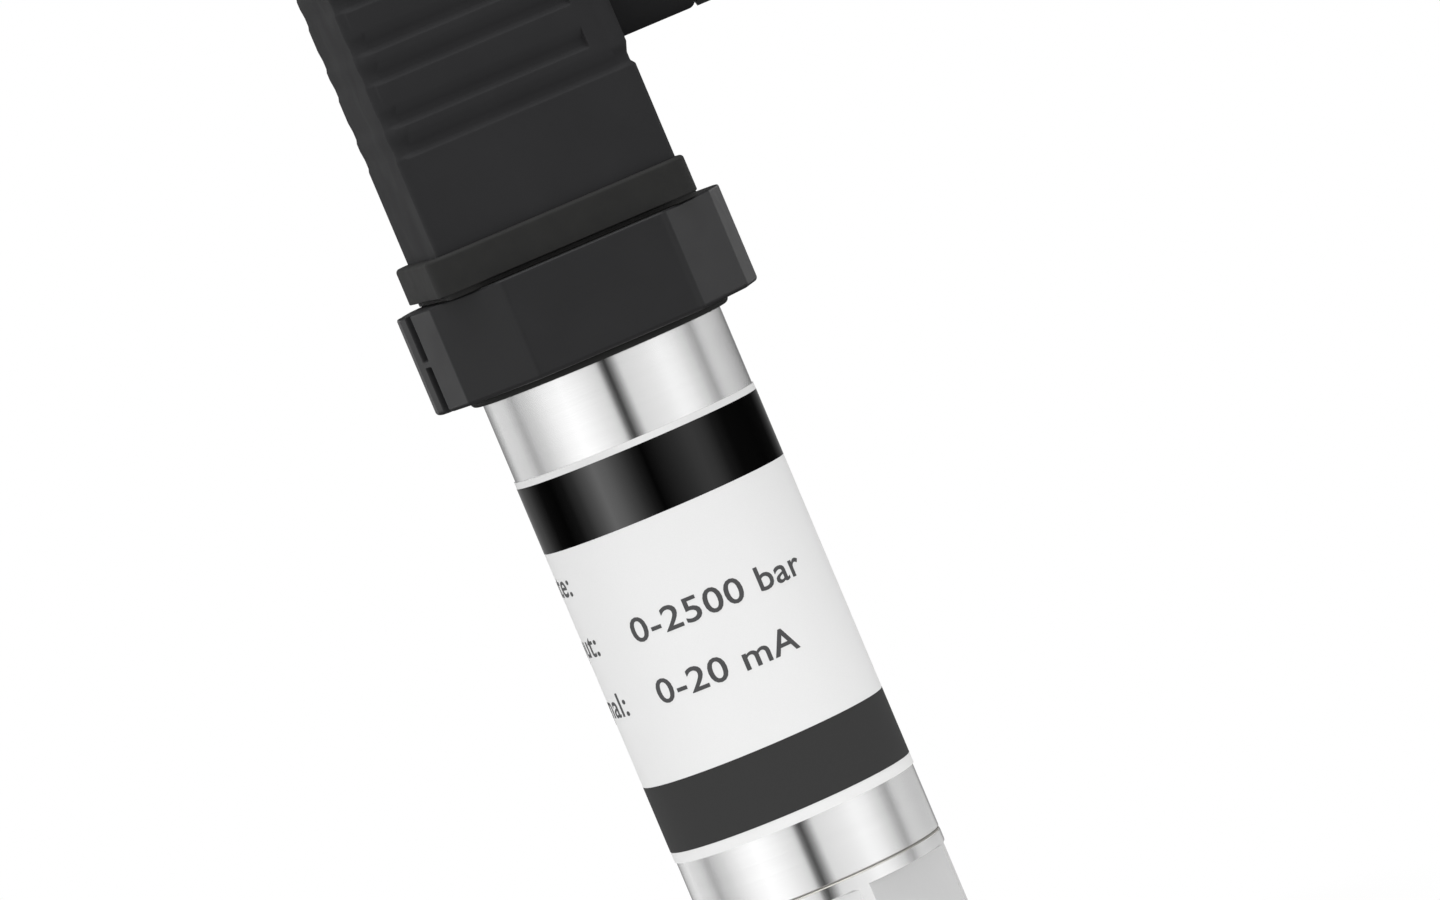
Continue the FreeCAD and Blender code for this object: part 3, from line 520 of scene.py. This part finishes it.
# %% Laminate, resin, sapphire and film
WEAVE_PITCH = 0.45 * MM
QUARTZ_GRAIN = 0.08 * MM
FILM_CREASE = 6.0 * MM


def laminate_lacquered():
    finish, tree, shader = new_finish("glass_epoxy_laminate", {"IOR": 1.55, "Roughness": 0.35})
    place = add_node(tree, "ShaderNodeTexCoord").outputs["Object"]
    threads = [add_node(tree, "ShaderNodeTexWave", {"Vector": place,
               "Scale": math.tau / (20 * WEAVE_PITCH)}, bands_direction=axis) for axis in "XY"]
    weave = add_node(tree, "ShaderNodeMath", {0: threads[0].outputs[1], 1: threads[1].outputs[1]},
                     operation="MULTIPLY")
    tone = add_node(tree, "ShaderNodeMix", {0: weave.outputs[0], 6: linear("#0d4a27"),
                    7: linear("#17603a")}, data_type="RGBA")
    skin = add_node(tree, "ShaderNodeBump", {"Height": weave.outputs[0], "Strength": 0.3,
                    "Distance": 0.02 * MM})
    tree.links.new(tone.outputs[2], shader.inputs["Base Color"])
    tree.links.new(skin.outputs[0], shader.inputs["Normal"])
    return finish


def filled(name, dark, light, grain, surface):
    """A finish whose tone and roughness follow one noise of that grain."""
    finish, tree, shader = new_finish(name, surface)
    place = add_node(tree, "ShaderNodeTexCoord").outputs["Object"]
    marks = add_node(tree, "ShaderNodeTexNoise", {"Vector": place, "Scale": 1 / grain,
                     "Detail": 3.0})
    tone = add_node(tree, "ShaderNodeMix", {0: marks.outputs[0], 6: linear(dark),
                    7: linear(light)}, data_type="RGBA")
    skin = add_node(tree, "ShaderNodeBump", {"Height": marks.outputs[0], "Strength": 0.25,
                    "Distance": 0.01 * MM})
    tree.links.new(tone.outputs[2], shader.inputs["Base Color"])
    tree.links.new(skin.outputs[0], shader.inputs["Normal"])
    return finish


finishes["board_laminate"] = laminate_lacquered()
finishes["chip_resin"] = filled("epoxy_resin_quartz_filled", "#19191b", "#26262a", QUARTZ_GRAIN,
                                {"Roughness": 0.55, "IOR": 1.55})
finishes["sapphire"] = filled("sapphire_disc_lapped", "#e2ecf4", "#f2f7fa", FILM_CREASE,
                              {"Roughness": 0.06, "IOR": 1.77, "Transmission Weight": 0.85})
finishes["sleeve_film"] = filled("polyimide_film_amber", "#a86a14", "#c98a2a", FILM_CREASE,
                                 {"Roughness": 0.22, "IOR": 1.7})
print("made", len(finishes), "finishes in all")

# %% [markdown]
# ## Dressing the CAD pieces
#
# Every CAD piece names a material slot in its record. The finish made for that slot goes on it,
# which also covers the pieces that are never replaced, such as the boards inside the tube.

# %% Finishes on the frame
slot_of = {piece["node"]: piece["material_slot"] for piece in frame["record"]["subparts"]}
for name, node in frame["nodes"].items():
    node.data.materials[0] = finishes[slot_of[name]]
frame["nodes"]["plug_housing"].data.materials[0] = plug_skin
print("dressed", len(slot_of), "CAD pieces")

# %% [markdown]
# ## Edges that catch the light
#
# A moulded or turned edge is never razor sharp: it has a small radius, and that radius is what
# draws the fine bright lines along the grooves of the plug. The solids leave these tiny radii out.
# Rebuilding each piece by hand would risk its fit, so a copy is taken instead. Its loose triangles
# are merged, flat areas are dissolved to single faces, and a Bevel modifier rounds every edge that
# is sharper than a set angle. Smooth shading alone would make the large faces look dented near the
# rounded edges, so a Weighted Normal modifier lets the large faces decide. The copy then stands in
# for the CAD piece.

# %% Soft-edged copies
MERGE = 0.002 * MM
FLAT_ANGLE = math.radians(0.3)     # facets closer than this to one plane become one face
SHARP_ANGLE = math.radians(35)     # edges sharper than this are rounded
EDGE_STEPS = 3


def shade_edges(piece):
    """Smooth shading that keeps flat faces flat and sharp edges sharp."""
    bpy.ops.mesh.customdata_custom_splitnormals_clear()
    bpy.ops.object.shade_smooth_by_angle(angle=SHARP_ANGLE)
    flats = piece.modifiers.new("flat_faces", "WEIGHTED_NORMAL")
    flats.keep_sharp = True
    bpy.ops.object.modifier_apply(modifier=flats.name)


def soft_edged(node, name, radius):
    """A merged copy of a CAD piece with its sharp edges rounded, standing in for that piece."""
    bpy.ops.object.select_all(action="DESELECT")
    source = frame["nodes"][node]
    source.select_set(True)
    bpy.context.view_layer.objects.active = source
    bpy.ops.object.duplicate()
    piece = bpy.context.object
    piece.name = name
    piece.data.name = name
    del piece["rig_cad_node"]
    bpy.ops.mesh.customdata_custom_splitnormals_clear()
    bpy.ops.object.mode_set(mode="EDIT")
    bpy.ops.mesh.select_all(action="SELECT")
    bpy.ops.mesh.remove_doubles(threshold=MERGE)
    bpy.ops.mesh.dissolve_limited(angle_limit=FLAT_ANGLE, use_dissolve_boundaries=False)
    bpy.ops.object.mode_set(mode="OBJECT")
    edges = piece.modifiers.new("edge_radius", "BEVEL")
    edges.width = radius
    edges.segments = EDGE_STEPS
    edges.limit_method = "ANGLE"
    edges.angle_limit = SHARP_ANGLE
    edges.use_clamp_overlap = False
    edges.miter_outer = "MITER_ARC"
    bpy.ops.object.modifier_apply(modifier=edges.name)
    shade_edges(piece)
    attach(piece, source["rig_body"])
    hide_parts(node)
    print(name, "stands for", node, "with", len(piece.data.polygons), "faces")
    return piece


soft_edged("plug_housing", "plug_shell", 0.12 * MM)
soft_edged("connector_base", "base_collar", 0.12 * MM)
soft_edged("profile_gasket", "gasket_lipped", 0.12 * MM)
soft_edged("gland_nut", "gland_cap_nut", 0.12 * MM)
soft_edged("gland_seal", "gland_seal_ring", 0.2 * MM)
soft_edged("gland_washer", "gland_washer_blanked", 0.1 * MM)
soft_edged("screw_seal", "screw_seal_ring", 0.15 * MM)
soft_edged("terminal_carrier", "terminal_block", 0.15 * MM)
soft_edged("socket_contacts", "contacts_folded", 0.08 * MM)
soft_edged("terminal_screws", "clamp_screws", 0.08 * MM)
soft_edged("contact_blades", "line_blades", 0.08 * MM)
soft_edged("earth_blade", "earth_blade_blanked", 0.08 * MM)
fitting = soft_edged("process_fitting", "fitting_turned", 0.12 * MM)
insert = soft_edged("thread_insert", "thread_insert_turned", 0.1 * MM)
screw = soft_edged("fixing_screw", "fixing_screw_turned", 0.08 * MM)

# %% [markdown]
# ## Threads
#
# The pressure port is a female 9/16-18 UNF thread and the centre screw is an M3. A thread could be
# drawn with a bump map, but it should also show at the edge of the port. Both threads have the same
# 60 degree flanks, so the tool that cuts them is an equilateral triangle: a circle of three corners,
# swept into a helix by a Screw modifier, closed at both ends and subtracted with a Boolean. The
# tool's corner points outwards to cut a nut thread, and inwards to cut a screw.

# %% Thread cutting
TOOL_WIDTH = 0.92              # width of the tool as a share of the pitch
TOOL_STEPS = 40                # steps in one turn of the helix


def cut_thread(piece, root, pitch, low, turns, inward=False):
    """Cut a helix whose root lies at that radius, from a level upwards."""
    corner = TOOL_WIDTH * pitch / math.sqrt(3)
    facing = -1 if inward else 1
    bpy.ops.object.select_all(action="DESELECT")
    bpy.ops.mesh.primitive_circle_add(vertices=3, radius=corner)
    tool = bpy.context.object
    bpy.ops.object.mode_set(mode="EDIT")
    bpy.ops.mesh.select_all(action="SELECT")
    bpy.ops.transform.rotate(value=-facing * math.pi / 2, orient_axis="Z", center_override=(0, 0, 0))
    bpy.ops.transform.rotate(value=math.pi / 2, orient_axis="X", center_override=(0, 0, 0))
    bpy.ops.transform.translate(value=(root - facing * corner, 0, low))
    bpy.ops.object.mode_set(mode="OBJECT")
    helix = tool.modifiers.new("helix", "SCREW")
    helix.screw_offset = pitch
    helix.iterations = turns
    helix.steps = TOOL_STEPS
    helix.render_steps = TOOL_STEPS
    bpy.ops.object.modifier_apply(modifier=helix.name)
    bpy.ops.object.mode_set(mode="EDIT")
    bpy.ops.mesh.select_all(action="SELECT")
    bpy.ops.mesh.fill_holes(sides=3)
    bpy.ops.mesh.normals_make_consistent(inside=False)
    bpy.ops.object.mode_set(mode="OBJECT")
    bpy.context.view_layer.objects.active = piece
    cut = piece.modifiers.new("thread", "BOOLEAN")
    cut.object = tool
    cut.solver = "EXACT"
    bpy.ops.object.modifier_apply(modifier=cut.name)
    shade_edges(piece)
    bpy.data.objects.remove(tool)
    print(piece.name, "threaded,", len(piece.data.polygons), "faces")


PORT_ROOT = 14.29 / 2 * MM     # 9/16 inch
PORT_PITCH = 25.4 / 18 * MM
PORT_TURNS = 8
SCREW_ROOT = 2.46 / 2 * MM
SCREW_PITCH = 0.5 * MM
SCREW_TURNS = 24
INSERT_ROOT = 3.6 / 2 * MM
INSERT_TURNS = 14

port_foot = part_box("process_fitting")[0].z - PORT_PITCH / 2
screw_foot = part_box("fixing_screw")[0].z - SCREW_PITCH / 2
insert_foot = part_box("thread_insert")[0].z - SCREW_PITCH / 2
cut_thread(fitting, PORT_ROOT, PORT_PITCH, port_foot, PORT_TURNS)
cut_thread(screw, SCREW_ROOT, SCREW_PITCH, screw_foot, SCREW_TURNS, inward=True)
cut_thread(insert, INSERT_ROOT, SCREW_PITCH, insert_foot, INSERT_TURNS)

# %% [markdown]
# ## Milled flats and the weld
#
# The spanner hexagon is milled after the turning. A milling cutter leaves short marks in all
# directions, so a flat shows a soft even grey beside the sharp stripes of the turned steel. The
# weld that joins fitting and tube leaves a thin line of tinted steel at the seam. Both could be
# pieces of their own, but they are one piece of steel with the fitting. So their faces are found
# by where they lie and given a second and a third finish, and the flats' blunt edges are marked
# sharp.

# %% Flats and weld
ACROSS_FLATS = 24.0 * MM
ON_FLAT = 0.01 * MM            # how near a face has to be to count as one of the flats
UPRIGHT = 0.01                 # largest rise of the normal of an upright face
WELD_REACH = 0.3 * MM
WELD_RISE = (0.2, 0.98)        # least and largest rise of the normals in the seam's chamfer
MILLED, WELDED = 1, 2          # places of the second and third finish

tube_low, tube_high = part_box("body_tube")
fitting.data.materials.append(milled_steel)
fitting.data.materials.append(welded_steel)
bpy.ops.object.select_all(action="DESELECT")
fitting.select_set(True)
bpy.context.view_layer.objects.active = fitting
bpy.ops.object.mode_set(mode="EDIT")
bpy.ops.mesh.select_mode(type="FACE")
bpy.ops.mesh.select_all(action="DESELECT")
bpy.ops.object.mode_set(mode="OBJECT")
for face in fitting.data.polygons:
    from_axis = face.center.dot(face.normal)
    face.select = abs(face.normal.z) < UPRIGHT and abs(from_axis - ACROSS_FLATS / 2) < ON_FLAT
    at_seam = abs(face.center.z - tube_low.z) < WELD_REACH
    at_skin = face.center.xy.length > tube_high.x - WELD_REACH
    if face.select:
        face.material_index = MILLED
    elif at_seam and at_skin and WELD_RISE[0] < face.normal.z < WELD_RISE[1]:
        face.material_index = WELDED
milled = sum(face.material_index == MILLED for face in fitting.data.polygons)
welded = sum(face.material_index == WELDED for face in fitting.data.polygons)
bpy.ops.object.mode_set(mode="EDIT")
bpy.ops.mesh.region_to_loop()
bpy.ops.mesh.mark_sharp()
bpy.ops.object.mode_set(mode="OBJECT")
shade_edges(fitting)
print("fitting:", milled, "faces milled and", welded, "in the weld")

# %% [markdown]
# ## Printed bands
#
# A black band runs along the top of the label and a dark grey one near its bottom, with thin
# margins of bare film outside them. They could be colour steps in the film's own material, but
# each ink has a shine of its own, so each band is a skin of ink: an open cylinder without caps,
# with one face taken out where the ends of the label meet, and a Solidify modifier for its body.

# %% Bands
label_low, label_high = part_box("label")
LABEL_SEAM = 0.6 * MM          # gap between the label's ends, at the back
MARGIN_LOW = 1.2 * MM
GREY_BAND = 7.42 * MM
WHITE_FIELD = 26.68 * MM
BLACK_BAND = 7.43 * MM
INK_T = 0.02 * MM
INK_SINK = 0.006 * MM          # how far the ink reaches into the film


def on_label(piece, finish):
    """Give a print its ink, and let it ride on the label's body."""
    piece.data.materials.append(finish)
    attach(piece, frame["nodes"]["label"]["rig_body"])
    print(piece.name, "printed,", len(piece.data.polygons), "faces")


def ink_band(name, low, width, finish):
    radius = label_high.x - INK_SINK
    sides = round(math.tau * radius / LABEL_SEAM)
    bpy.ops.object.select_all(action="DESELECT")
    bpy.ops.mesh.primitive_cylinder_add(vertices=sides, radius=radius, depth=width,
                                        end_fill_type="NOTHING", location=(0, 0, low + width / 2),
                                        rotation=(0, 0, math.pi / sides))
    band = bpy.context.object
    band.name = name
    band.data.name = name
    bpy.ops.object.transform_apply(location=True, rotation=True, scale=True)
    bpy.ops.object.mode_set(mode="EDIT")
    bpy.ops.mesh.select_mode(type="FACE")
    bpy.ops.mesh.select_all(action="DESELECT")
    bpy.ops.object.mode_set(mode="OBJECT")
    for face in band.data.polygons:
        face.select = face.center.y > 0 and abs(face.center.x) < LABEL_SEAM / 4
    bpy.ops.object.mode_set(mode="EDIT")
    bpy.ops.mesh.delete(type="FACE")
    bpy.ops.object.mode_set(mode="OBJECT")
    body = band.modifiers.new("ink_body", "SOLIDIFY")
    body.thickness = INK_T
    body.offset = 1.0
    bpy.ops.object.modifier_apply(modifier=body.name)
    bpy.ops.object.shade_smooth_by_angle(angle=SHARP_ANGLE)
    on_label(band, finish)


grey_low = label_low.z + MARGIN_LOW
black_low = grey_low + GREY_BAND + WHITE_FIELD
ink_band("print_band_grey", grey_low, GREY_BAND, grey_ink)
ink_band("print_band_black", black_low, BLACK_BAND, black_ink)

# %% [markdown]
# ## Words on the label
#
# The field between the bands carries the usual data of a transmitter: a column of headings at the
# left edge, and the range and the signal beside them. The words are generic. Each line is a text
# object in the built-in font, made a little bolder by an offset of its outlines. It is made a mesh,
# stretched and stood upright, cut into narrow strips by bisecting, and bent round the label by a
# Simple Deform modifier. Shrinkwrap would do it too, but it squeezes the letters towards the sides.

# %% Label words
CAP_SHARE = 0.69               # height of a capital in the built-in font, as a share of its size
CAP_HEIGHT = 2.6 * MM
LETTER_SPACE = 1.05
LETTER_STRETCH = 1.2           # the letters of the label are wider than those of the font
LETTER_WEIGHT = 0.04 * MM      # how far each outline is moved outwards
LETTER_CURVE = 4               # steps in each curve of a letter
STRIP = 0.4 * MM
WORD_R = label_high.x - INK_SINK + INK_T / 2


def label_line(words, name, along, level):
    """One line of print; along is where it starts, measured round the label."""
    bpy.ops.object.select_all(action="DESELECT")
    bpy.ops.object.text_add()
    line = bpy.context.object
    line.name = name
    line.data.body = words
    line.data.size = CAP_HEIGHT / CAP_SHARE
    line.data.extrude = INK_T / 2
    line.data.resolution_u = LETTER_CURVE
    line.data.space_character = LETTER_SPACE
    line.data.offset = LETTER_WEIGHT
    bpy.ops.object.convert(target="MESH")
    line.data.name = name
    line.rotation_euler = (math.pi / 2, 0, 0)
    line.scale = (LETTER_STRETCH, 1, 1)
    line.location = (along, 0, level - CAP_HEIGHT / 2)
    bpy.ops.object.transform_apply(location=True, rotation=True, scale=True)
    start = min(v.co.x for v in line.data.vertices)
    width = line.dimensions.x
    bpy.ops.object.mode_set(mode="EDIT")
    bpy.ops.mesh.select_all(action="SELECT")
    bpy.ops.mesh.remove_doubles(threshold=MERGE / 4)
    for strip in range(1, int(width / STRIP) + 1):
        bpy.ops.mesh.select_all(action="SELECT")
        bpy.ops.mesh.bisect(plane_co=(start + strip * STRIP, 0, 0), plane_no=(1, 0, 0))
    bpy.ops.object.mode_set(mode="OBJECT")
    wrap = line.modifiers.new("wrap", "SIMPLE_DEFORM")
    wrap.deform_method = "BEND"
    wrap.deform_axis = "Z"
    wrap.angle = width / WORD_R
    bpy.ops.object.modifier_apply(modifier=wrap.name)
    line.location = (0, -WORD_R, 0)
    bpy.ops.object.transform_apply(location=True, rotation=True, scale=True)
    on_label(line, word_ink)


HEADINGS_START = -27.9 * MM    # round the label from its front
DATA_START = -11.0 * MM
ROWS = (                       # name, heading, data, and height of the line's middle in mm
    ("date", "Date:", "", 64.95),
    ("input", "Input:", "0-2500 bar", 58.1),
    ("signal", "Signal:", "0-20 mA", 51.2),
)
for row, heading, data, height in ROWS:
    label_line(heading, "print_heading_" + row, HEADINGS_START, height * MM)
    if data:
        label_line(data, "print_data_" + row, DATA_START, height * MM)
